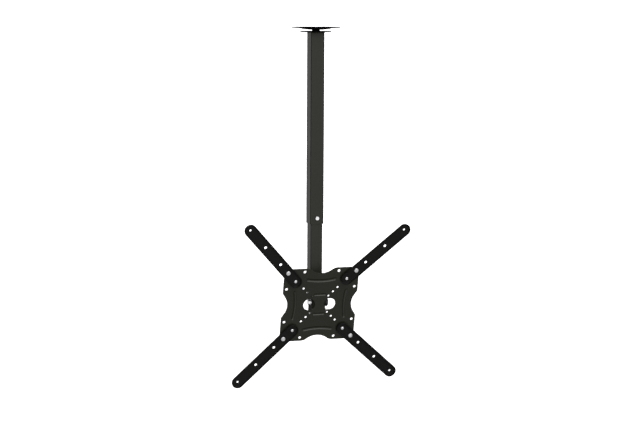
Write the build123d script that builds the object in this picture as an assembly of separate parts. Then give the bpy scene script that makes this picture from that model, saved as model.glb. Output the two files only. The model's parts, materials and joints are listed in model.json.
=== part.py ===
from build123d import *
import os
from math import asin, cos, degrees, radians, sin, sqrt

# Ceiling mount for a television, in millimetres.
# The origin is the centre of the ceiling plate's top face. +Z is up, the
# television side faces -Y, and everything hangs below the origin.

# Ceiling plate: a square pressing with a round dish that hides the swivel bolt's head
ceiling_side = 110.0
ceiling_corner_radius = 1.5
ceiling_sheet = 3.0
dish_edge_radius = 48.0
dish_rim_radius = 45.5
dish_shoulder_radius = 38.0
dish_shoulder_depth = 2.6
dish_floor_radius = 22.0
dish_depth = 4.4
dish_bend_radius = 6.0
ceiling_hole_spacing = 80.0
ceiling_hole_radius = 4.5

# Swivel bolt: a coach bolt with a square neck, its spacer, washer and lock nut
swivel_radius = 5.0
swivel_head_radius = 12.0
swivel_head_height = 3.8
swivel_spacer_radius = 11.0
swivel_spacer_height = 4.0
swivel_washer_radius = 10.5
swivel_washer_height = 2.0
swivel_nut_flats = 17.0
swivel_nut_height = 10.0
swivel_nut_hex_height = 7.5
swivel_nut_collar_radius = 7.8
swivel_nut_collar_round = 1.4
swivel_bolt_spare = 3.0

# Pole: a round flange welded on a square tube, and the tube that slides in it
flange_radius = 43.8
flange_height = 2.8
pole_width = 40.0
pole_wall = 2.0
pole_corner_radius = 3.0
pole_length = 537.5
slide_clearance = 0.5
drop_wall = 2.0
drop_corner_radius = 2.5
drop_length = 545.0
drop_exposed = 218.0

# Lock screw: clamps the sliding tube through the front wall of the outer one
lock_radius = 3.0
lock_head_flats = 10.0
lock_head_height = 4.0
lock_head_standoff = 0.8
lock_above_pole_end = 16.0

# Tilt head: a bracket on the sliding tube, held between the ears of the plate's bracket
tilt_angle = 13.8
pivot_reach = 10.8
pivot_below_tube = 2.4
pivot_depth = 17.0
tilt_radius = 4.0
tilt_bolt_flats = 13.0
tilt_bolt_head = 5.3
tilt_washer_radius = 8.0
tilt_washer_height = 1.6
spring_washer_radius = 7.0
spring_washer_height = 2.2
knob_radius = 13.0
knob_height = 7.0
knob_edge_round = 1.2
knob_flutes = 8
knob_flute_radius = 3.5
knob_flute_depth = 1.0
knob_thread_depth = 4.8
knob_bore_spare = 0.5
head_sheet = 2.5
head_nose_radius = 12.0
head_bend_radius = 1.5
head_above_pivot = 40.0
friction_washer_radius = 10.0
friction_washer_height = 1.0
ear_side_clearance = 0.3
ear_sheet = 2.0
ear_bend_radius = 1.5
ear_half_height = 34.0
ear_length = 34.0
ear_corner_radius = 6.0
web_groove_clearance = 0.6

# Television plate: a square sheet with wavy edges, pressed grooves and two windows
plate_margin = 10.0
plate_sheet = 2.5
plate_corner_radius = 10.0
plate_edge_round = 0.5
wave_half_width = 46.5
wave_depth = 15.5
wave_hollow_radius = 50.0
notch_half_width = 37.0
notch_floor_half_width = 20.0
notch_shoulder_depth = 10.8
notch_depth = 15.6
notch_round = 5.0
groove_width = 9.0
groove_depth = 1.8
groove_offset = 72.0
groove_half_length = 40.0
groove_bow = 4.0
inner_groove_offset = 29.5
inner_groove_width = 7.0
inner_groove_half_length = 15.0
window_end_radius = 17.2
window_end_centre = 30.2
window_corner_radius = 2.0

# Screw patterns of the plate: side of each square or oblong of holes, and the holes' radius
square_patterns = [(50.0, 2.9), (75.0, 3.2), (100.0, 3.2)]
long_pattern = 200.0
short_pattern = 100.0
oblong_hole_radius = 4.0

# Swing arms: four pressed trays alike, each on its own bolt at a corner of the long pattern, with
# a guide bolt that runs in a short curved slot of the plate and limits the swing
arm_width = 35.4
arm_sheet = 2.5
arm_height = 7.4
arm_bend_radius = 1.5
arm_edge_round = 0.6
arm_pitch = short_pattern / sqrt(2)
arm_swing = 15.0
arm_hole_radius = 4.0
arm_end_hole_radius = 3.1
arm_middle_angles = {"top_left": 135.0, "top_right": 45.0, "bottom_left": 225.0, "bottom_right": -45.0}
arm_rest_turns = {"top_left": -3.1, "top_right": -3.2, "bottom_left": 0.4, "bottom_right": 2.8}
arm_bolt_radius = 3.0
arm_bolt_head_radius = 6.5
arm_bolt_head_height = 3.6
arm_bolt_dome_round = 1.8
recess_length = 6.4
recess_width = 1.3
recess_depth = 2.0
arm_washer_radius = 6.0
arm_washer_height = 1.6
arm_nut_flats = 10.0
arm_nut_height = 5.0
guide_radius = 2.5
guide_head_radius = 4.8
guide_head_height = 3.2
guide_dome_round = 2.2
guide_recess_length = 5.0
guide_washer_radius = 5.0
guide_washer_height = 1.0
guide_nut_flats = 8.0
guide_nut_height = 4.0
bolt_spare = 2.0

# Heads and nuts: the bevel of a hexagon's corners, and the turned face's width over the flats
hex_bevel = 0.6
hex_face_share = 0.97

# Clearances shared by all fits, on the radius
running_clearance = 0.08
bolt_clearance = 0.3
thread_clearance = 0.03

# How far a cutting tool reaches past the face it cuts
cut_margin = 1.0

# Heights down the swivel stack, from the ceiling
dish_top = -dish_depth
dish_bottom = dish_top - ceiling_sheet
flange_top = dish_bottom - swivel_spacer_height
pole_top = flange_top - flange_height
swivel_washer_bottom = pole_top - swivel_washer_height
swivel_nut_bottom = swivel_washer_bottom - swivel_nut_height
pole_bottom = pole_top - pole_length
drop_bottom = pole_bottom - drop_exposed
lock_height = pole_bottom + lock_above_pole_end

# Cross sections of the two tubes
drop_width = pole_width - 2 * pole_wall - 2 * slide_clearance
drop_front = -drop_width / 2
pole_front = -pole_width / 2

# Pivot of the tilt head, and the plate's own frame at rest
pivot_y = drop_front - pivot_reach
pivot_z = drop_bottom - pivot_below_tube
plate_normal = Vector(0, -cos(radians(tilt_angle)), -sin(radians(tilt_angle)))
pivot_point = Vector(0, pivot_y, pivot_z)
plate_frame = Plane(origin=pivot_point + plate_normal * pivot_depth, x_dir=(1, 0, 0), z_dir=plate_normal)

# Across the tilt head, from the middle outwards
ear_inside = drop_width / 2 + ear_side_clearance
ear_outside = ear_inside + ear_sheet
head_outside = ear_inside - friction_washer_height
head_inside = head_outside - head_sheet

# Through the plate's thickness, along its normal
plate_front = plate_sheet / 2
plate_back = -plate_sheet / 2
arm_seat = plate_front + arm_sheet
plate_side = long_pattern + 2 * plate_margin
bolt_corner = long_pattern / 2
guide_distance = arm_pitch / 2


def groove_section(width, depth):
    """Radius of a groove's round section, and half the width of its ridge on the back."""
    radius = (width ** 2 / 4 + depth ** 2) / (2 * depth)
    ridge_half_width = sqrt((radius + plate_sheet) ** 2 - (radius - depth + plate_sheet) ** 2)
    return radius, ridge_half_width


# The tilt bracket's web ends short of the inner grooves' ridges
web_half_height = (
    inner_groove_offset - groove_section(inner_groove_width, groove_depth)[1] - web_groove_clearance
)


def hex_prism(flats, height):
    """Hexagon standing on z = 0, with its top corners turned off as on a rolled head."""
    corner = flats / sqrt(3)
    turned = Pos(0, 0, height / 2) * Cylinder(corner, height)
    turned = chamfer(turned.edges().sort_by(Axis.Z)[-1], hex_bevel, corner - hex_face_share * flats / 2)
    return extrude(RegularPolygon(corner, 6), height) & turned


def round_bar(radius, bottom, top):
    """Round bar along z."""
    return Pos(0, 0, (bottom + top) / 2) * Cylinder(radius, top - bottom)


def washer(radius, hole, height):
    """Flat ring standing on z = 0."""
    return round_bar(radius, 0, height) - round_bar(hole, -cut_margin, height + cut_margin)


def hex_bolt(radius, flats, head_height, length):
    """Hexagon bolt: the head stands on z = 0 and the shank hangs below it."""
    return hex_prism(flats, head_height) + round_bar(radius, -length, 0)


def hex_nut(flats, height, hole):
    """Hexagon nut standing on z = 0."""
    return hex_prism(flats, height) - round_bar(hole, -cut_margin, height + cut_margin)


def make_swivel_nut():
    """Lock nut under the flange: a hexagon with a plain collar, where the locking ring sits."""
    hexagon = hex_prism(swivel_nut_flats, swivel_nut_hex_height)
    collar = round_bar(swivel_nut_collar_radius, 0, swivel_nut_height)
    collar = fillet(collar.edges().sort_by(Axis.Z)[-1], swivel_nut_collar_round)
    hole = round_bar(swivel_radius + thread_clearance, -cut_margin, swivel_nut_height + cut_margin)
    return Pos(0, 0, swivel_washer_bottom) * Rot(180, 0, 0) * (hexagon + collar - hole)


def square_tube(width, wall, corner_radius, bottom, top):
    """Square tube along z with rounded corners inside and out."""
    outside = RectangleRounded(width, width, corner_radius)
    inside = RectangleRounded(width - 2 * wall, width - 2 * wall, corner_radius - wall)
    return Pos(0, 0, bottom) * extrude(outside - inside, top - bottom)


def make_ceiling_plate():
    """Square plate whose middle is drawn down into a dish: a short wall, a gentle cone and a flat floor."""

    def dish_curve(level):
        corners = [
            (dish_edge_radius, level),
            (dish_rim_radius, level),
            (dish_shoulder_radius, level - dish_shoulder_depth),
            (dish_floor_radius, level - dish_depth),
            (0, level - dish_depth),
        ]
        return FilletPolyline(*corners, radius=dish_bend_radius).edges()

    edge = Line((dish_edge_radius, 0), (dish_edge_radius, -ceiling_sheet))
    middle = Line((0, dish_top), (0, dish_bottom))
    profile = make_face(dish_curve(0) + dish_curve(-ceiling_sheet) + [edge, middle])
    dish = revolve(Plane.XZ * profile, Axis.Z)

    flat = RectangleRounded(ceiling_side, ceiling_side, ceiling_corner_radius) - Circle(dish_edge_radius)
    for spot in GridLocations(ceiling_hole_spacing, ceiling_hole_spacing, 2, 2):
        flat -= spot * Circle(ceiling_hole_radius)
    neck = 2 * (swivel_radius + running_clearance)
    neck_hole = Pos(0, 0, dish_top) * Box(neck, neck, 4 * ceiling_sheet)
    return Pos(0, 0, -ceiling_sheet) * extrude(flat, ceiling_sheet) + dish - neck_hole


def make_swivel_bolt():
    """Coach bolt: domed head in the dish, square neck in its floor, round shank below."""
    cap_radius = (swivel_head_radius ** 2 + swivel_head_height ** 2) / (2 * swivel_head_height)
    cap = Pos(0, 0, dish_top + swivel_head_height - cap_radius) * Sphere(cap_radius)
    head = cap & Pos(0, 0, dish_top + swivel_head_height) * Box(
        4 * swivel_head_radius, 4 * swivel_head_radius, 2 * swivel_head_height
    )
    neck = Pos(0, 0, dish_top - ceiling_sheet / 2) * Box(2 * swivel_radius, 2 * swivel_radius, ceiling_sheet)
    return head + neck + round_bar(swivel_radius, swivel_nut_bottom - swivel_bolt_spare, dish_bottom)


def make_pole_flange():
    """Round disc that turns on the swivel bolt and is welded on the pole."""
    disc = round_bar(flange_radius, pole_top, flange_top)
    disc = fillet(disc.edges(), flange_height / 4)
    return disc - round_bar(swivel_radius + running_clearance, pole_top - cut_margin, flange_top + cut_margin)


def make_outer_tube():
    """Pole tube with a tapped hole for the lock screw in its front wall."""
    tube = square_tube(pole_width, pole_wall, pole_corner_radius, pole_bottom, pole_top)
    tapped = Pos(0, pole_front, lock_height) * Rot(90, 0, 0) * Cylinder(
        lock_radius + thread_clearance, 3 * pole_wall
    )
    return tube - tapped


def make_lock_screw():
    """Short hexagon screw whose tip presses on the sliding tube."""
    seat = pole_front - lock_head_standoff
    screw = hex_bolt(lock_radius, lock_head_flats, lock_head_height, drop_front - seat)
    return Plane(origin=(0, seat, lock_height), x_dir=(1, 0, 0), z_dir=(0, -1, 0)) * screw


def make_inner_tube():
    """Sliding tube."""
    return square_tube(drop_width, drop_wall, drop_corner_radius, drop_bottom, drop_bottom + drop_length)


def cross_hole(radius):
    """Long bar along x through the pivot, for cutting the tilt bolt's holes."""
    return Pos(*pivot_point) * Rot(0, 90, 0) * Cylinder(radius, 4 * ear_outside)


def make_head_bracket():
    """U-shaped bracket on the tube's front: two cheeks that reach forward to the tilt bolt."""
    nose = pivot_y - head_nose_radius
    middle = (nose + drop_front) / 2
    outside = Pos(0, middle) * Rectangle(2 * head_outside, drop_front - nose)
    outside = fillet(outside.vertices().group_by(Axis.Y)[-1], head_bend_radius + head_sheet)
    inside = Pos(0, middle - head_sheet) * Rectangle(2 * head_inside, drop_front - nose)
    inside = fillet(inside.vertices().group_by(Axis.Y)[-1], head_bend_radius)
    height = head_above_pivot + head_nose_radius
    channel = Pos(0, 0, pivot_z - head_nose_radius) * extrude(outside - inside, height)

    # The cheeks' side view is a band pulled round the pivot's nose and the flat on the tube
    flat_height = Pos(drop_front - head_sheet / 2, pivot_z + (head_above_pivot - head_nose_radius) / 2)
    flat = flat_height * Rectangle(head_sheet, height)
    round_nose = Pos(pivot_y, pivot_z) * Circle(head_nose_radius)
    side_view = make_hull(flat.edges() + round_nose.edges())
    band = extrude(Plane.YZ * side_view, 2 * head_outside, both=True)
    return channel & band - cross_hole(tilt_radius + running_clearance)


def make_tilt_bracket():
    """U-shaped bracket on the plate's back: a web on the sheet and two ears beside the tube."""
    depth = ear_length
    outside = Pos(0, plate_back - depth / 2) * Rectangle(2 * ear_outside, depth)
    outside = fillet(outside.vertices().group_by(Axis.Y)[-1], ear_bend_radius + ear_sheet)
    inside = Pos(0, plate_back - ear_sheet - depth / 2) * Rectangle(2 * ear_inside, depth)
    inside = fillet(inside.vertices().group_by(Axis.Y)[-1], ear_bend_radius)
    channel = extrude(Plane.XZ * (outside - inside), ear_half_height, both=True)

    # The ears are taller than the web between them
    ear_view = Pos(0, plate_back - depth / 2) * Rectangle(2 * ear_half_height, depth)
    ear_view = fillet(ear_view.vertices().group_by(Axis.Y)[0], ear_corner_radius)
    channel &= extrude(Plane.YZ * ear_view, 2 * ear_outside, both=True)
    trim = Box(2 * ear_inside, 2 * ear_half_height, 4 * ear_length)
    for side in (1, -1):
        channel -= Pos(0, side * (web_half_height + ear_half_height), 0) * trim
    return plate_frame * channel - cross_hole(tilt_radius + bolt_clearance)


def plate_outline():
    """Square with a smooth wave in its top and bottom edges and a notch in each side."""
    half = plate_side / 2
    reach = half - plate_corner_radius
    swell_radius = (wave_half_width ** 2 + wave_depth ** 2) / (2 * wave_depth) - wave_hollow_radius
    wave_angle = degrees(asin(wave_half_width / (wave_hollow_radius + swell_radius)))
    shoulder = half - notch_shoulder_depth

    start = Line((reach, half), (wave_half_width, half))
    fall = JernArc(start @ 1, (-1, 0), swell_radius, wave_angle)
    hollow = JernArc(fall @ 1, fall % 1, wave_hollow_radius, -2 * wave_angle)
    rise = JernArc(hollow @ 1, hollow % 1, swell_radius, wave_angle)
    end = Line(rise @ 1, (-reach, half))
    corner = JernArc(end @ 1, (-1, 0), plate_corner_radius, 90)
    side = Line(corner @ 1, (-half, notch_half_width))
    slope = Line(side @ 1, (-shoulder, notch_floor_half_width))
    bottom = ThreePointArc(
        slope @ 1, (-half + notch_depth, 0), (-shoulder, -notch_floor_half_width)
    )
    slope_back = Line(bottom @ 1, (-half, -notch_half_width))
    side_back = Line(slope_back @ 1, (-half, -reach))
    last_corner = JernArc(side_back @ 1, (0, -1), plate_corner_radius, 90)
    edges = [start, fall, hollow, rise, end, corner, side, slope, bottom, slope_back, side_back, last_corner]
    edges += [Rot(0, 0, 180) * edge for edge in edges]
    outline = make_face(edges)
    notch_corners = [
        vertex
        for vertex in outline.vertices()
        if abs(vertex.X) >= shoulder - cut_margin and abs(vertex.Y) <= notch_half_width + cut_margin
    ]
    return fillet(notch_corners, notch_round)


def groove_body(section_radius, centre_height, half_length, bow):
    """Bar that presses a groove along x: a bent round bar with ball ends, bowed towards -y."""
    balls = [Pos(side * half_length, bow, centre_height) * Sphere(section_radius) for side in (1, -1)]
    if bow == 0:
        bar = Pos(0, 0, centre_height) * Rot(0, 90, 0) * Cylinder(section_radius, 2 * half_length)
    else:
        bend_radius = (half_length ** 2 + bow ** 2) / (2 * bow)
        half_angle = degrees(asin(half_length / bend_radius))
        section = Plane.XZ * (Pos(bend_radius, centre_height) * Circle(section_radius))
        ring = revolve(Rot(0, 0, -90 - half_angle) * section, Axis.Z, 2 * half_angle)
        bar = Pos(0, bend_radius, 0) * ring
    return balls[0] + bar + balls[1]


def press_groove(sheet, place, width, depth, half_length, bow):
    """Pushes a round groove into the sheet's front, with a matching ridge on its back."""
    section_radius = groove_section(width, depth)[0]
    centre_height = plate_front + section_radius - depth
    ridge = groove_body(section_radius + plate_sheet, centre_height, half_length, bow)
    reach = 4 * (half_length + section_radius)
    ridge &= Pos(0, 0, -section_radius) * Box(reach, reach, 2 * section_radius)
    hollow = groove_body(section_radius, centre_height, half_length, bow)
    return sheet + place * ridge - place * hollow


def at_corner(name):
    """Place of an arm's bolt on the plate, at a corner of the long pattern."""
    across = bolt_corner if "right" in name else -bolt_corner
    up = bolt_corner if "top" in name else -bolt_corner
    return Pos(across, up, 0)


def make_tv_plate():
    """Television plate in its own frame, turned to the tilt angle at the end."""
    sheet = plate_outline()
    for side, radius in square_patterns:
        for spot in GridLocations(side, side, 2, 2):
            sheet -= spot * Circle(radius)
    for across, up in ((long_pattern, short_pattern), (short_pattern, long_pattern)):
        for spot in GridLocations(across, up, 2, 2):
            sheet -= spot * Circle(oblong_hole_radius)
    for name, middle in arm_middle_angles.items():
        sheet -= at_corner(name) * Circle(arm_bolt_radius + bolt_clearance)
        path = CenterArc((0, 0), guide_distance, middle + 180 - arm_swing, 2 * arm_swing)
        sheet -= at_corner(name) * SlotArc(path, 2 * (guide_radius + bolt_clearance))
    for turn in (0, 180):
        length = window_end_centre - ear_outside
        straight = Pos(ear_outside + length / 2, 0) * Rectangle(length, 2 * window_end_radius)
        straight = fillet(straight.vertices().group_by(Axis.X)[0], window_corner_radius)
        rounded = Pos(window_end_centre, 0) * Circle(window_end_radius)
        sheet -= Rot(0, 0, turn) * (straight + rounded)

    plate = Pos(0, 0, plate_back) * extrude(sheet, plate_sheet)
    outer_edges = [face.outer_wire().edges() for face in plate.faces().filter_by(Axis.Z)]
    plate = fillet([edge for wire in outer_edges for edge in wire], plate_edge_round)
    for turn in (0, 90, 180, 270):
        place = Rot(0, 0, turn) * Pos(0, groove_offset, 0)
        plate = press_groove(plate, place, groove_width, groove_depth, groove_half_length, groove_bow)
    for offset in (inner_groove_offset, -inner_groove_offset):
        place = Pos(0, offset, 0)
        plate = press_groove(plate, place, inner_groove_width, groove_depth, inner_groove_half_length, 0)
    return plate_frame * plate


def on_arm(name):
    """Place of an arm: x runs along it from its bolt to its free end."""
    return plate_frame * at_corner(name) * Rot(0, 0, arm_middle_angles[name] + arm_rest_turns[name])


def make_arm(name):
    """Tray with round ends: a flat web on the plate's front and a rim turned forward all round."""
    end = 3 * arm_pitch - guide_distance
    middle = Pos((end - guide_distance) / 2, 0)
    run = end + guide_distance
    tray = extrude(middle * SlotCenterToCenter(run, arm_width), arm_height)
    tray = fillet(tray.edges().group_by(Axis.Z)[0], arm_bend_radius + arm_sheet)
    hollow = extrude(middle * SlotCenterToCenter(run, arm_width - 2 * arm_sheet), arm_height)
    hollow = fillet(hollow.edges().group_by(Axis.Z)[0], arm_bend_radius)
    tray -= Pos(0, 0, arm_sheet) * hollow
    tray = fillet(tray.edges().group_by(Axis.Z)[-1], arm_edge_round)
    holes = [
        (-guide_distance, guide_radius + running_clearance),
        (0, arm_bolt_radius + running_clearance),
        (arm_pitch - guide_distance, arm_hole_radius),
        (2 * arm_pitch - guide_distance, arm_hole_radius),
        (end, arm_end_hole_radius),
    ]
    for along, radius in holes:
        tray -= Pos(along, 0, 0) * round_bar(radius, -cut_margin, arm_sheet + cut_margin)
    return on_arm(name) * Pos(0, 0, plate_front) * tray


def at_arm_bolts(height, piece):
    """Four copies of a fastener, one at each arm bolt, at a height along the plate's normal."""
    spots = [at_corner(name) for name in arm_middle_angles]
    return Compound(children=[plate_frame * Pos(0, 0, height) * spot * piece for spot in spots])


def at_guide(name, height, piece):
    """A fastener on an arm's inner end, at a height along the plate's normal."""
    return on_arm(name) * Pos(-guide_distance, 0, height) * piece


def pan_screw(radius, head_radius, head_height, dome_round, cross_length, below_head):
    """Pan head screw with a cross recess: the head stands on z = 0."""
    head = round_bar(head_radius, 0, head_height)
    head = fillet(head.edges().sort_by(Axis.Z)[-1], dome_round)
    for turn in (0, 90):
        slot = Pos(0, 0, head_height) * Box(cross_length, recess_width, 2 * recess_depth)
        head -= Rot(0, 0, turn) * slot
    return head + round_bar(radius, -below_head - bolt_spare, 0)


def make_knob():
    """Fluted hand knob with a blind threaded hole: it stands on z = 0."""
    disc = Circle(knob_radius)
    flute_centre = knob_radius + knob_flute_radius - knob_flute_depth
    for spot in PolarLocations(flute_centre, knob_flutes):
        disc -= spot * Circle(knob_flute_radius)
    knob = extrude(disc, knob_height)
    knob = fillet(knob.edges().group_by(Axis.Z)[-1], knob_edge_round)
    depth = knob_thread_depth + knob_bore_spare
    return knob - round_bar(tilt_radius + thread_clearance, -cut_margin, depth)


def across_pivot(x, direction, piece):
    """Puts a piece that stands on z = 0 on the tilt axis at x, standing along +x or -x."""
    return Plane(origin=(x, pivot_y, pivot_z), x_dir=(0, 0, 1), z_dir=(direction, 0, 0)) * piece


def make_friction_washers():
    """Two plain washers between the cheeks of one bracket and the ears of the other."""
    ring = washer(friction_washer_radius, tilt_radius + bolt_clearance, friction_washer_height)
    return Compound(children=[across_pivot(side * head_outside, side, ring) for side in (1, -1)])


def make_spring_washer():
    """Spring washer under the tilt bolt's head, pressed flat."""
    ring = washer(spring_washer_radius, tilt_radius + bolt_clearance, spring_washer_height)
    return across_pivot(-tilt_seat, -1, ring)


def make_tilt_washers():
    """Two flat washers outside the ears, one on the bolt head's side and one on the knob's."""
    ring = washer(tilt_washer_radius, tilt_radius + bolt_clearance, tilt_washer_height)
    return Compound(children=[across_pivot(side * ear_outside, side, ring) for side in (1, -1)])


tilt_seat = ear_outside + tilt_washer_height
tilt_bolt_seat = tilt_seat + spring_washer_height
tilt_bolt_length = tilt_bolt_seat + tilt_seat + knob_thread_depth
arm_grip = arm_sheet + plate_sheet
arm_washer_bottom = plate_back - arm_washer_height
arm_nut_bottom = arm_washer_bottom - arm_nut_height
guide_washer_bottom = plate_back - guide_washer_height
guide_nut_bottom = guide_washer_bottom - guide_nut_height
arm_bolt = pan_screw(
    arm_bolt_radius,
    arm_bolt_head_radius,
    arm_bolt_head_height,
    arm_bolt_dome_round,
    recess_length,
    arm_grip + arm_washer_height + arm_nut_height,
)
guide_bolt = pan_screw(
    guide_radius,
    guide_head_radius,
    guide_head_height,
    guide_dome_round,
    guide_recess_length,
    arm_grip + guide_washer_height + guide_nut_height,
)
guide_washer = washer(guide_washer_radius, guide_radius + bolt_clearance, guide_washer_height)
guide_nut = hex_nut(guide_nut_flats, guide_nut_height, guide_radius + thread_clearance)

pieces = {
    "ceiling_plate": make_ceiling_plate(),
    "swivel_bolt": make_swivel_bolt(),
    "swivel_spacer": Pos(0, 0, flange_top)
    * washer(swivel_spacer_radius, swivel_radius + running_clearance, swivel_spacer_height),
    "swivel_washer": Pos(0, 0, swivel_washer_bottom)
    * washer(swivel_washer_radius, swivel_radius + running_clearance, swivel_washer_height),
    "swivel_nut": make_swivel_nut(),
    "pole_flange": make_pole_flange(),
    "outer_tube": make_outer_tube(),
    "lock_screw": make_lock_screw(),
    "inner_tube": make_inner_tube(),
    "head_bracket": make_head_bracket(),
    "friction_washers": make_friction_washers(),
    "tilt_bracket": make_tilt_bracket(),
    "tilt_bolt": across_pivot(
        -tilt_bolt_seat, -1, hex_bolt(tilt_radius, tilt_bolt_flats, tilt_bolt_head, tilt_bolt_length)
    ),
    "tilt_spring_washer": make_spring_washer(),
    "tilt_washers": make_tilt_washers(),
    "tilt_knob": across_pivot(tilt_seat, 1, make_knob()),
    "tv_plate": make_tv_plate(),
    "arm_bolts": at_arm_bolts(arm_seat, arm_bolt),
    "arm_washers": at_arm_bolts(
        arm_washer_bottom, washer(arm_washer_radius, arm_bolt_radius + bolt_clearance, arm_washer_height)
    ),
    "arm_nuts": at_arm_bolts(
        arm_nut_bottom, hex_nut(arm_nut_flats, arm_nut_height, arm_bolt_radius + thread_clearance)
    ),
}
for corner_name in arm_middle_angles:
    pieces[f"arm_{corner_name}"] = make_arm(corner_name)
    pieces[f"guide_bolt_{corner_name}"] = at_guide(corner_name, arm_seat, guide_bolt)
    pieces[f"guide_washer_{corner_name}"] = at_guide(corner_name, guide_washer_bottom, guide_washer)
    pieces[f"guide_nut_{corner_name}"] = at_guide(corner_name, guide_nut_bottom, guide_nut)

os.makedirs("parts", exist_ok=True)
for node, piece in pieces.items():
    export_step(piece, f"parts/{node}.step")
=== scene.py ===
# %% [markdown]
# # A telescopic ceiling mount for a television
# The mount hangs from a small square plate: a square pole turns under it, a second tube slides in
# the pole, and a pressed plate with four swing arms tilts at the bottom. The solid pieces come from
# the frame, in metres and already in place, so this lesson adds what solids leave out: the weld
# beads, the screw threads, the finish of each metal, the light and the camera.

# %% Load the frame
import json
import math
import bmesh
import bpy
import numpy as np
from mathutils import Matrix, Vector


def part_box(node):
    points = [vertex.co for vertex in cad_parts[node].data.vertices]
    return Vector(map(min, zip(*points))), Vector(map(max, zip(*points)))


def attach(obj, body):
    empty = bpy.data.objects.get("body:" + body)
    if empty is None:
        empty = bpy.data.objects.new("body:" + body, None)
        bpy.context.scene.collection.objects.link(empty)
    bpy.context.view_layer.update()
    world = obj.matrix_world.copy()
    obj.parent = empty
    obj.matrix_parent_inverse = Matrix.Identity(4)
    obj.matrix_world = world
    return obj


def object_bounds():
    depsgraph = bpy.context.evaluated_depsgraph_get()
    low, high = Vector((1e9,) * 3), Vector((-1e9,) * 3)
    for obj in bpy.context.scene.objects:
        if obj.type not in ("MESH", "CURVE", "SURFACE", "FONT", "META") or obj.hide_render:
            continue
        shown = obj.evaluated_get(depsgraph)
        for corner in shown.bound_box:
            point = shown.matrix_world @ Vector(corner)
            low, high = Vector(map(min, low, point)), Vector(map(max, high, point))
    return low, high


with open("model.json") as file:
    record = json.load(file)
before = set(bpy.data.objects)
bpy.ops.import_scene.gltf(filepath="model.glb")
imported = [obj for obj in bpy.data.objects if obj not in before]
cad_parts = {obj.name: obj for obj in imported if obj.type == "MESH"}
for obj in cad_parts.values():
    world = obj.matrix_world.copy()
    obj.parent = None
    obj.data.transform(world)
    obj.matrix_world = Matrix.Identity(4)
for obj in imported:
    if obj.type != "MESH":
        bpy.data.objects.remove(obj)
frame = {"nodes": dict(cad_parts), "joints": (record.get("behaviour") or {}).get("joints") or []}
cad_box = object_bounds()
nodes = frame["nodes"]
mm = 0.001

# %% [markdown]
# ## Where things are
# The record keeps each joint's axis, so the plate's tilted frame can be worked out from it: the arms
# turn about the plate's normal. Every other place is measured on the solids themselves, as the
# lowest and highest that their points reach in some direction.

# %% Read the directions of the tilted plate
joints = {joint["name"]: joint for joint in frame["joints"]}
corners = ["top_left", "top_right", "bottom_left", "bottom_right"]
plate_normal = np.array(joints["top_left_swing"]["axis"])
plate_right = np.array([1.0, 0.0, 0.0])
plate_up = np.cross(plate_normal, plate_right)
tilt = math.degrees(math.asin(-plate_normal[2]))
print(f"the plate leans {tilt:.1f} degrees")


# %% Measure the solids
def points_of(node):
    """All points of a solid's mesh, one in each row."""
    mesh = nodes[node].data
    places = np.empty(3 * len(mesh.vertices))
    mesh.vertices.foreach_get("co", places)
    return places.reshape(-1, 3)


def span(node, direction):
    """The lowest and highest that a solid reaches along a direction."""
    along = points_of(node) @ direction
    return along.min(), along.max()


def on_plate(right, up, out):
    """Point of space from its distances along the plate's right, up and outward directions."""
    return right * plate_right + up * plate_up + out * plate_normal


arm_back, arm_front = span("arm_top_left", plate_normal)
print(f"the arms stand {(arm_front - arm_back) / mm:.1f} mm off the plate")

# %% [markdown]
# ## Surfaces as grids
# A surface is a function of two parameters. Numpy works out all its points at once as an array of
# rows and columns, and one helper turns such a grid into a mesh. Every surface here is a bent tube:
# its columns go round and meet themselves, and a flat cap closes each end.


# %% A mesh from a grid of points
def grid_faces(rows, columns):
    """Quads between neighbouring rows and columns of a tube, as an array of point numbers."""
    row, column = np.meshgrid(np.arange(rows - 1), np.arange(columns), indexing="ij")
    next_column = (column + 1) % columns
    quad = [
        row * columns + column,
        row * columns + next_column,
        (row + 1) * columns + next_column,
        (row + 1) * columns + column,
    ]
    return np.stack(quad, axis=-1).reshape(-1, 4)


def surface(name, grids, body):
    """One smooth object made of several tubes of points, with closed ends, riding on a body."""
    points = np.concatenate([grid.reshape(-1, 3) for grid in grids])
    faces = []
    first = 0
    for grid in grids:
        rows, columns = grid.shape[:2]
        start_cap = first + np.arange(columns)
        end_cap = start_cap + (rows - 1) * columns
        faces += (first + grid_faces(rows, columns)).tolist()
        faces += [start_cap.tolist(), end_cap.tolist()]
        first += rows * columns
    mesh = bpy.data.meshes.new(name)
    mesh.from_pydata(points, [], faces)
    shape = bmesh.new()
    shape.from_mesh(mesh)
    bmesh.ops.recalc_face_normals(shape, faces=shape.faces)
    shape.to_mesh(mesh)
    shape.free()
    mesh.shade_smooth()
    piece = bpy.data.objects.new(name, mesh)
    bpy.context.scene.collection.objects.link(piece)
    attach(piece, body)
    print(name, "has", len(mesh.vertices), "points and", len(mesh.polygons), "faces")
    return piece


# %% [markdown]
# ## Weld beads
# The pole is welded to its round flange, the head bracket to the sliding tube, and the tilt bracket
# to the plate. A weld bead could be a texture, but a side view would show it flat. Here it is a real
# rounded strip: a small profile carried along the seam, whose size swells and shrinks a little with
# each ripple that the weld pool left behind.

# %% A bead along a seam
ripple_length = 1.7 * mm
ripple_depth = 0.10
wander_depth = 0.05
wander_length = 7.3 * ripple_length
bead_crown = 0.55
bead_root = -0.12
bead_profile_points = 9
smallest_end = 0.02


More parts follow.
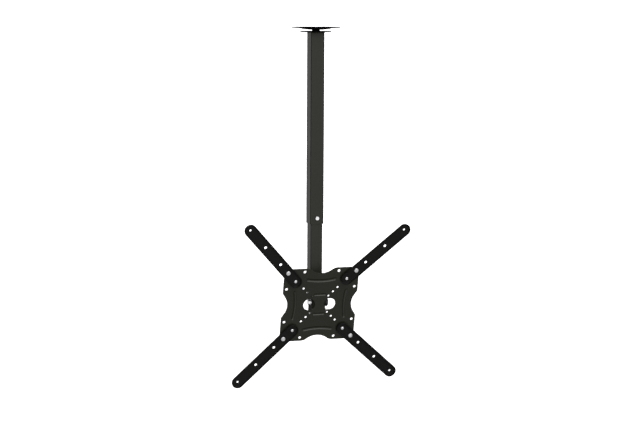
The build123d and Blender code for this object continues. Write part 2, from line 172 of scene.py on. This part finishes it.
def bead(path, wall_a, wall_b, leg):
    """Rounded corner fillet along a path.

    The profile goes from one wall to the other as a mix of a straight chamfer and a quarter circle,
    and is closed through the corner. wall_a and wall_b point along the two walls, away from the
    seam, one row for each point of the path. The leg is scaled by 1 minus a dip between ripples plus
    a slow wander, and rounds off to nothing at both ends.
    """
    step = np.linalg.norm(np.diff(path, axis=0), axis=1)
    along = np.concatenate([[0.0], np.cumsum(step)])
    ripple = np.sqrt(np.abs(np.sin(np.pi * along / ripple_length)))
    wander = np.sin(2 * np.pi * along / wander_length)
    from_end = np.clip(np.minimum(along, along[-1] - along) / leg, 0.0, 1.0)
    end_round = np.sqrt(np.clip(1.0 - (1.0 - from_end) ** 2, smallest_end, 1.0))
    size = leg * end_round * (1.0 - ripple_depth * (1.0 - ripple) + wander_depth * wander)
    turn = np.linspace(0.0, np.pi / 2, bead_profile_points)
    straight = turn / (np.pi / 2)
    share_a = bead_crown * np.cos(turn) + (1.0 - bead_crown) * (1.0 - straight)
    share_b = bead_crown * np.sin(turn) + (1.0 - bead_crown) * straight
    share_a = np.append(share_a, bead_root)
    share_b = np.append(share_b, bead_root)
    along_a = size[:, None, None] * share_a[None, :, None] * wall_a[:, None, :]
    along_b = size[:, None, None] * share_b[None, :, None] * wall_b[:, None, :]
    return path[:, None, :] + along_a + along_b


def steady(direction, path):
    """The same direction at every point of a path."""
    return np.tile(np.array(direction, float), (len(path), 1))


# %% [markdown]
# ### The bead under the flange
# This seam runs round the square pole with its rounded corners. The path is worked out from the
# distance travelled: each side is a straight run and then a quarter of a circle.


# %% Weld the flange to the pole
def rounded_square(half, corner, count):
    """Points and outward directions round a square with corner arcs, evenly spaced in length."""
    straight = 2 * (half - corner)
    arc = np.pi / 2 * corner
    along = np.linspace(0.0, 4 * (straight + arc), count, endpoint=False)
    side = np.floor(along / (straight + arc))
    rest = along - side * (straight + arc)
    on_arc = np.clip(rest - straight, 0.0, arc) / corner
    run = np.minimum(rest, straight) - straight / 2
    outward = half - corner + corner * np.cos(on_arc)
    forward = run + corner * np.sin(on_arc)
    turn = side * np.pi / 2
    x = outward * np.cos(turn) - forward * np.sin(turn)
    y = outward * np.sin(turn) + forward * np.cos(turn)
    return np.column_stack([x, y]), np.column_stack([np.cos(turn + on_arc), np.sin(turn + on_arc)])


pole_low, pole_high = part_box("outer_tube")
pole_corner = 3.0 * mm
flange_weld_leg = 1.8 * mm
flange_seam_points = 720
overlap_points = 40
seam, seam_out = rounded_square(pole_high.x, pole_corner, flange_seam_points)
seam = np.column_stack([seam, np.full(len(seam), pole_high.z)])
seam_out = np.column_stack([seam_out, np.zeros(len(seam_out))])
seam = np.concatenate([seam, seam[:overlap_points]])
seam_out = np.concatenate([seam_out, seam_out[:overlap_points]])
flange_bead = bead(seam, seam_out, steady((0, 0, -1), seam), flange_weld_leg)
flange_weld = surface("flange_weld", [flange_bead], "pole")

# %% [markdown]
# ### The beads on the two brackets
# The head bracket's bends leave a narrow groove beside the tube's front wall on each side, which is
# where a welder runs a bead. The tilt bracket is welded along the top and bottom of its web.

# %% Weld the head bracket to the sliding tube
tube_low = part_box("inner_tube")[0]
head_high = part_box("head_bracket")[1]
seam_points = 160
head_weld_leg = 2.2 * mm
weld_end_gap = 2.0 * mm
weld_from_cheek = 2.4 * mm
head_beads = []
for side in (-1, 1):
    height = np.linspace(tube_low.z + weld_end_gap, head_high.z - weld_end_gap, seam_points)
    across = np.full(seam_points, side * (head_high.x - weld_from_cheek))
    seam = np.column_stack([across, np.full(seam_points, tube_low.y), height])
    head_beads.append(bead(seam, steady((side, 0, 0), seam), steady((0, -1, 0), seam), head_weld_leg))
head_weld = surface("head_weld", head_beads, "drop")

# %% Weld the tilt bracket to the plate
web_weld_leg = 1.6 * mm
web_weld_share = 0.72
bracket = points_of("tilt_bracket")
plate_back = (bracket @ plate_normal).max()
ear_outside = np.abs(bracket @ plate_right).max()
on_web = bracket @ plate_normal > plate_back - web_weld_leg / 10
web_edge = (bracket[on_web] @ plate_up).min(), (bracket[on_web] @ plate_up).max()
web_beads = []
for side, edge in zip((-1, 1), web_edge):
    across = np.linspace(-1.0, 1.0, seam_points) * web_weld_share * ear_outside
    seam = on_plate(across[:, None], edge, plate_back)
    along_plate, along_web = steady(side * plate_up, seam), steady(-plate_normal, seam)
    web_beads.append(bead(seam, along_plate, along_web, web_weld_leg))
web_weld = surface("web_weld", web_beads, "screen_plate")

# %% [markdown]
# ## Screw threads
# The bolts in the frame are plain bars. Where a bar shows, behind its nut or under its head, a
# thread is wound on it. A thread is a cylinder whose radius depends on both parameters: it rises and
# falls once for each turn and each pitch, so the crest climbs by one pitch in a lap.

# %% Wind a thread on a bar
thread_sides = 48
rows_per_pitch = 10
thread_rise = 0.24
thread_sink = 0.10


def thread(start, tip, radius, pitch):
    """Sleeve from start to tip whose radius is a triangle wave of distance / pitch minus angle / turn.

    The crest stands a seventh of the pitch above the bar, the root lies just under its surface, and
    the last pitch runs out to a small chamfer.
    """
    length = np.linalg.norm(tip - start)
    direction = (tip - start) / length
    side = np.cross(direction, (0.0, 0.0, 1.0))
    side /= np.linalg.norm(side)
    other = np.cross(direction, side)
    rows = int(rows_per_pitch * length / pitch) + 2
    steps = np.linspace(0.0, length, rows)
    turns = np.linspace(0.0, 2 * np.pi, thread_sides, endpoint=False)
    distance, angle = np.meshgrid(steps, turns, indexing="ij")
    crest = 1.0 - np.abs(2.0 * ((distance / pitch - angle / (2 * np.pi)) % 1.0) - 1.0)
    runout = np.clip((length - distance) / pitch, 0.0, 1.0)
    size = radius + pitch * (thread_rise * crest * runout - thread_sink)
    ring = np.cos(angle)[..., None] * side + np.sin(angle)[..., None] * other
    return start + distance[..., None] * direction + size[..., None] * ring


def thread_behind(nut, bolt, right, up, radius, pitch):
    """Thread on a bolt's end, from its nut's back to its tip, at a place on the plate."""
    start = on_plate(right, up, span(nut, plate_normal)[0])
    tip = on_plate(right, up, span(bolt, plate_normal)[0])
    return thread(start, tip, radius, pitch)


# %% Thread the arm bolts and the guide bolts
arm_bolt_radius = 3.0 * mm
arm_bolt_pitch = 1.0 * mm
arm_threads = []
for corner in corners:
    spot = np.array(joints[f"{corner}_swing"]["pos_m"])
    right, up = spot @ plate_right, spot @ plate_up
    winding = thread_behind("arm_nuts", "arm_bolts", right, up, arm_bolt_radius, arm_bolt_pitch)
    arm_threads.append(winding)
arm_thread = surface("arm_bolt_threads", arm_threads, "screen_plate")

guide_radius = 2.5 * mm
guide_pitch = 0.8 * mm
guide_threads = []
for corner in corners:
    nut, bolt = f"guide_nut_{corner}", f"guide_bolt_{corner}"
    right, up = sum(span(nut, plate_right)) / 2, sum(span(nut, plate_up)) / 2
    winding = thread_behind(nut, bolt, right, up, guide_radius, guide_pitch)
    guide_threads.append(surface(f"guide_thread_{corner}", [winding], f"arm_{corner}"))

# %% Thread the lock screw where its head stands off the pole
lock_radius = 3.0 * mm
lock_pitch = 1.0 * mm
lock_standoff = 0.8 * mm
lock_low, lock_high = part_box("lock_screw")
lock_height = (lock_low.z + lock_high.z) / 2
lock_start = np.array([0.0, pole_low.y, lock_height])
lock_seat = lock_start - np.array([0.0, lock_standoff, 0.0])
lock_thread = surface(
    "lock_screw_thread", [thread(lock_start, lock_seat, lock_radius, lock_pitch)], "pole"
)

# %% [markdown]
# ## Shader maths as expressions
# A material is a graph of nodes. Wiring each Math node by hand hides the formula, so a small class
# wraps an output socket: adding or multiplying two of them adds the node and returns its output.


# %% A socket that can be added and multiplied
class Value:
    """An output socket of a node tree, with arithmetic."""

    def __init__(self, tree, socket):
        self.tree = tree
        self.socket = socket

    def node(self, kind, settings=None, output=0, **inputs):
        """Adds any node: its settings first, then values or links for its sockets.

        A socket is named with its spaces as underscores, or numbered as in i0 and i1.
        """
        made = self.tree.nodes.new(kind)
        for key, setting in (settings or {}).items():
            setattr(made, key, setting)
        for key, value in inputs.items():
            socket = int(key[1:]) if key[1:].isdigit() else key.replace("_", " ")
            if isinstance(value, Value):
                self.tree.links.new(value.socket, made.inputs[socket])
            else:
                made.inputs[socket].default_value = value
        return Value(self.tree, made.outputs[output])

    def math(self, operation, a, b):
        return self.node("ShaderNodeMath", {"operation": operation}, i0=a, i1=b)

    def __add__(self, other):
        return self.math("ADD", self, other)

    def __radd__(self, other):
        return self.math("ADD", other, self)

    def __sub__(self, other):
        return self.math("SUBTRACT", self, other)

    def __rmul__(self, other):
        return self.math("MULTIPLY", other, self)

    def __pow__(self, other):
        return self.math("POWER", self, other)

    def at_least(self, lowest):
        """The larger of this value and a number."""
        return self.math("MAXIMUM", self, lowest)

    def towards(self, direction):
        """Cosine of the angle between this unit vector and a direction."""
        unit = Vector(direction).normalized()
        return self.node("ShaderNodeVectorMath", {"operation": "DOT_PRODUCT"}, 1, i0=self, i1=unit)

    def mix(self, low, high):
        """Colour that goes from low to high as this value goes from 0 to 1."""
        settings = {"data_type": "RGBA", "clamp_factor": True}
        return self.node("ShaderNodeMix", settings, 2, i0=self, i6=(*low, 1.0), i7=(*high, 1.0))

    def noise(self, scale, detail):
        """Soft random values from 0 to 1 over this place, with features about 1 / scale metres wide."""
        return self.node("ShaderNodeTexNoise", Vector=self, Scale=scale, Detail=detail)


def new_material(name, metallic, specular):
    """Material with one shader, and its Object coordinates to start expressions from."""
    material = bpy.data.materials.new(name)
    material.use_nodes = True
    tree = material.node_tree
    shader = tree.nodes["Principled BSDF"]
    shader.inputs["Metallic"].default_value = metallic
    shader.inputs["Specular IOR Level"].default_value = specular
    place = Value(tree, tree.nodes.new("ShaderNodeTexCoord").outputs["Object"])
    return material, shader, place


def connect(shader, **inputs):
    """Feeds expressions to the shader's sockets."""
    for key, value in inputs.items():
        value.tree.links.new(value.socket, shader.inputs[key.replace("_", " ")])


# %% [markdown]
# ## Black powder coat
# The steel is sprayed with powder and baked. The film is satin black, with the faint skin of an
# orange and a fine grit. Both are far too small to model, so they are bump, at the real scale of
# about two millimetres and a third of a millimetre. The colour drifts a little where the film is
# thicker. The pole, the pressed plate and the arms were coated apart, and their blacks differ. The
# pieces at the ceiling and the brackets behind the plate get darker, duller copies of the coat,
# which are painted shade: they stand for the shade under the ceiling plate and behind the plate.

# %% Make the powder coat
drift_scale = 22.0
skin_scale = 520.0
grit_scale = 3200.0
skin_share = 0.75
drift_gloss = 0.10
grit_gloss = 0.08
coat_relief = 0.12 * mm


def powder_coat(name, dark, light, specular, roughness, peel):
    """Satin black film: colour drift, uneven gloss and an orange-peel skin."""
    material, shader, place = new_material(name, 0.0, specular)
    drift = place.noise(drift_scale, 3.0)
    skin = place.noise(skin_scale, 2.0)
    grit = place.noise(grit_scale, 1.0)
    height = skin_share * skin + (1.0 - skin_share) * grit
    connect(
        shader,
        Base_Color=drift.mix(dark, light),
        Roughness=roughness + drift_gloss * (drift - 0.5) + grit_gloss * (grit - 0.5),
        Normal=place.node("ShaderNodeBump", Strength=peel, Distance=coat_relief, Height=height),
    )
    return material


# Painted shade: a darker, duller copy of the black coat for the pieces at the ceiling, standing for the
# shade under the ceiling plate.
ceiling_painted_shade_coat = powder_coat(
    "ceiling_powder_coat_painted_shade",
    (0.003, 0.003, 0.003),
    (0.005, 0.005, 0.005),
    specular=0.02,
    roughness=0.80,
    peel=0.4,
)
# Painted shade: a darker, duller copy of the plate's coat for the brackets, standing for the shade behind
# the pressed plate.
bracket_painted_shade_coat = powder_coat(
    "bracket_powder_coat_painted_shade",
    (0.0090, 0.0092, 0.0062),
    (0.0120, 0.0122, 0.0082),
    specular=0.08,
    roughness=0.60,
    peel=0.4,
)
pole_coat = powder_coat(
    "pole_powder_coat",
    (0.0115, 0.0117, 0.0068),
    (0.0145, 0.0147, 0.0086),
    specular=0.32,
    roughness=0.40,
    peel=0.3,
)
plate_coat = powder_coat(
    "plate_powder_coat",
    (0.0105, 0.0107, 0.0058),
    (0.0135, 0.0137, 0.0076),
    specular=0.40,
    roughness=0.32,
    peel=0.4,
)
arm_coat = powder_coat(
    "arm_powder_coat",
    (0.0050, 0.0050, 0.0046),
    (0.0070, 0.0070, 0.0064),
    specular=0.16,
    roughness=0.44,
    peel=0.4,
)
print("five shades of powder coat")

# %% [markdown]
# ## Zinc and nylon
# The fasteners are zinc plated: a pale bluish metal with a milky film here and there and the fine
# scratches of the tools that drove them. Some came duller from the bath than others. The knob and the
# friction washers are moulded black nylon, which is dull, with a faint waxy grain.

# %% Make the zinc and the nylon
film_scale = 180.0
scratch_scale = 2400.0
grain_scale = 1800.0
film_gloss = 0.16
scratch_gloss = 0.08
scratch_strength = 0.25
nylon_roughness = 0.48
grain_gloss = 0.12
grain_strength = 0.2
fine_relief = 0.05 * mm


def zinc_plate(name, dark, light, roughness):
    """Pale metal whose gloss varies with a milky film and fine scratches."""
    material, shader, place = new_material(name, 1.0, 0.5)
    film = place.noise(film_scale, 3.0)
    scratch = place.noise(scratch_scale, 2.0)
    connect(
        shader,
        Base_Color=film.mix(dark, light),
        Roughness=roughness + film_gloss * (film - 0.5) + scratch_gloss * (scratch - 0.5),
        Normal=place.node("ShaderNodeBump", Strength=scratch_strength, Distance=fine_relief, Height=scratch),
    )
    return material


def black_nylon(name):
    """Moulded black nylon: dull, with a faint waxy grain."""
    material, shader, place = new_material(name, 0.0, 0.3)
    grain = place.noise(grain_scale, 2.0)
    connect(
        shader,
        Base_Color=grain.mix((0.006, 0.006, 0.006), (0.010, 0.010, 0.010)),
        Roughness=nylon_roughness + grain_gloss * grain,
        Normal=place.node("ShaderNodeBump", Strength=grain_strength, Distance=fine_relief, Height=grain),
    )
    return material


dull_zinc = zinc_plate("dull_zinc", (0.80, 0.80, 0.81), (0.92, 0.92, 0.93), 0.42)
bright_zinc = zinc_plate("bright_zinc", (0.90, 0.91, 0.92), (0.98, 0.98, 0.99), 0.30)
nylon = black_nylon("black_nylon")
print("two shades of zinc, and nylon")

# %% [markdown]
# ## A finish for every piece
# A solid's finish goes into its material slot and leaves its shape alone. One list for each finish
# is easy to check against the real thing.

# %% Give every piece its finish
arms = [f"arm_{corner}" for corner in corners]
guide_bolts = [f"guide_bolt_{corner}" for corner in corners]
guide_backs = [f"guide_{piece}_{corner}" for piece in ("washer", "nut") for corner in corners]
finishes = {
    # The two painted-shade copies of the coat go on the ceiling pieces and the brackets.
    ceiling_painted_shade_coat: ["ceiling_plate", "swivel_spacer", "pole_flange"],
    bracket_painted_shade_coat: ["head_bracket", "tilt_bracket"],
    pole_coat: ["outer_tube", "inner_tube"],
    plate_coat: ["tv_plate"],
    arm_coat: arms,
    dull_zinc: [
        "swivel_bolt", "swivel_washer", "swivel_nut", "arm_bolts", "arm_washers", "arm_nuts",
        "tilt_washers", "tilt_spring_washer"
    ] + guide_backs,
    bright_zinc: ["lock_screw", "tilt_bolt"] + guide_bolts,
    nylon: ["friction_washers", "tilt_knob"],
}
for material, names in finishes.items():
    for name in names:
        nodes[name].data.materials.clear()
        nodes[name].data.materials.append(material)

new_finishes = {
    # The bracket beads take the brackets' painted-shade coat.
    bracket_painted_shade_coat: [head_weld, web_weld],
    pole_coat: [flange_weld],
    dull_zinc: [arm_thread] + guide_threads,
    bright_zinc: [lock_thread],
}
for material, pieces in new_finishes.items():
    for piece in pieces:
        piece.data.materials.append(material)
print("finished", sum(map(len, finishes.values())), "of", len(nodes), "nodes")

# %% [markdown]
# ## Floor, dome and light
# The mount hangs over a plain white floor inside a wide white dome, so far away that no shadow
# reaches the picture. Black paint is mostly seen by what it reflects. The floor and the dome are
# therefore left out of the reflections and the shadows, and the light of the studio is written as one
# function of direction: a pale wall behind on the left, a fill around the camera, a soft lamp above it
# and a low lamp behind on the right, which shows the mount's back. The dark sides between them draw
# the tubes' edges, and walls of the grooves that face right or down stay dark.

# %% Lay the floor and put the dome over it
floor_depth = 6.0
dome_radius = 40.0
backdrop_glow = 1.0
backdrop_material, backdrop_shader = new_material("pale_backdrop", 0.0, 0.0)[:2]
backdrop_shader.inputs["Base Color"].default_value = (0.9, 0.9, 0.9, 1.0)
backdrop_shader.inputs["Roughness"].default_value = 1.0
backdrop_shader.inputs["Emission Color"].default_value = (1.0, 1.0, 1.0, 1.0)
backdrop_shader.inputs["Emission Strength"].default_value = backdrop_glow


def backdrop(name, shape):
    """Object of the studio, not of the mount, which the camera sees and the other rays pass."""
    mesh = bpy.data.meshes.new(name)
    shape.to_mesh(mesh)
    shape.free()
    mesh.materials.append(backdrop_material)
    piece = bpy.data.objects.new(name, mesh)
    piece.visible_diffuse = False
    piece.visible_glossy = False
    piece.visible_shadow = False
    bpy.context.scene.collection.objects.link(piece)


floor_shape = bmesh.new()
floor_level = Matrix.Translation((0.0, 0.0, cad_box[0][2] - floor_depth))
bmesh.ops.create_grid(floor_shape, x_segments=1, y_segments=1, size=dome_radius, matrix=floor_level)
backdrop("floor", floor_shape)
dome_shape = bmesh.new()
bmesh.ops.create_icosphere(dome_shape, subdivisions=4, radius=dome_radius)
backdrop("dome", dome_shape)
print(f"floor {floor_depth} m below, dome {dome_radius} m away")

# %% Light the studio
world = bpy.data.worlds.new("studio")
world.use_nodes = True
world_tree = world.node_tree
direction = Value(world_tree, world_tree.nodes.new("ShaderNodeTexCoord").outputs["Generated"])


def soft_light(middle, sharpness, strength):
    """Patch of light: the cosine of the angle to its middle, raised to a power."""
    return strength * direction.towards(middle).at_least(0.0) ** sharpness


dim_room = 0.03
pale_wall = soft_light((-0.57, 0.82, -0.10), sharpness=8.0, strength=0.92)
camera_fill = soft_light((-0.25, -0.95, -0.30), sharpness=4.0, strength=1.12)
front_lamp = soft_light((0.25, -0.75, 0.60), sharpness=8.0, strength=4.0)
back_lamp = soft_light((0.75, 0.60, -0.25), sharpness=6.0, strength=1.0)
studio_light = dim_room + pale_wall + camera_fill + front_lamp + back_lamp
world_tree.links.new(studio_light.socket, world_tree.nodes["Background"].inputs["Strength"])
world_tree.nodes["Background"].inputs["Color"].default_value = (1.0, 1.0, 1.0, 1.0)
bpy.context.scene.world = world
bpy.context.scene.view_settings.view_transform = "Standard"
print("studio lit from", len([node for node in world_tree.nodes if node.type == "VECT_MATH"]), "sides")

# %% [markdown]
# ## The camera
# The camera stands about five metres away, eighteen degrees to the left of the mount's front and a
# little above its ceiling plate, and looks slightly down. A long lens keeps the sides almost parallel.

# %% Set the camera
camera_place = Vector((-1.5703, -4.8648, 0.0978))
camera_turn = math.radians(18.053)
camera_drop = math.radians(6.9365)
camera_roll = math.radians(0.34)
lens_in_picture_widths = 1824.0 / 640.0
sensor_width = 36.0

level_right = Vector((math.cos(camera_turn), -math.sin(camera_turn), 0.0))
level_forward = Vector((math.sin(camera_turn), math.cos(camera_turn), 0.0))
overhead = Vector((0.0, 0.0, 1.0))
forward = math.cos(camera_drop) * level_forward - math.sin(camera_drop) * overhead
upward = math.sin(camera_drop) * level_forward + math.cos(camera_drop) * overhead
picture_right = math.cos(camera_roll) * level_right + math.sin(camera_roll) * upward
picture_up = math.cos(camera_roll) * upward - math.sin(camera_roll) * level_right
camera_data = bpy.data.cameras.new("camera")
camera_data.sensor_width = sensor_width
camera_data.lens = sensor_width * lens_in_picture_widths
camera_data.clip_end = 4 * dome_radius
camera = bpy.data.objects.new("camera", camera_data)
camera_axes = Matrix((picture_right, picture_up, -forward)).transposed().to_4x4()
camera.matrix_world = Matrix.Translation(camera_place) @ camera_axes
bpy.context.scene.collection.objects.link(camera)
bpy.context.scene.camera = camera
print("camera at", tuple(round(value, 3) for value in camera_place))
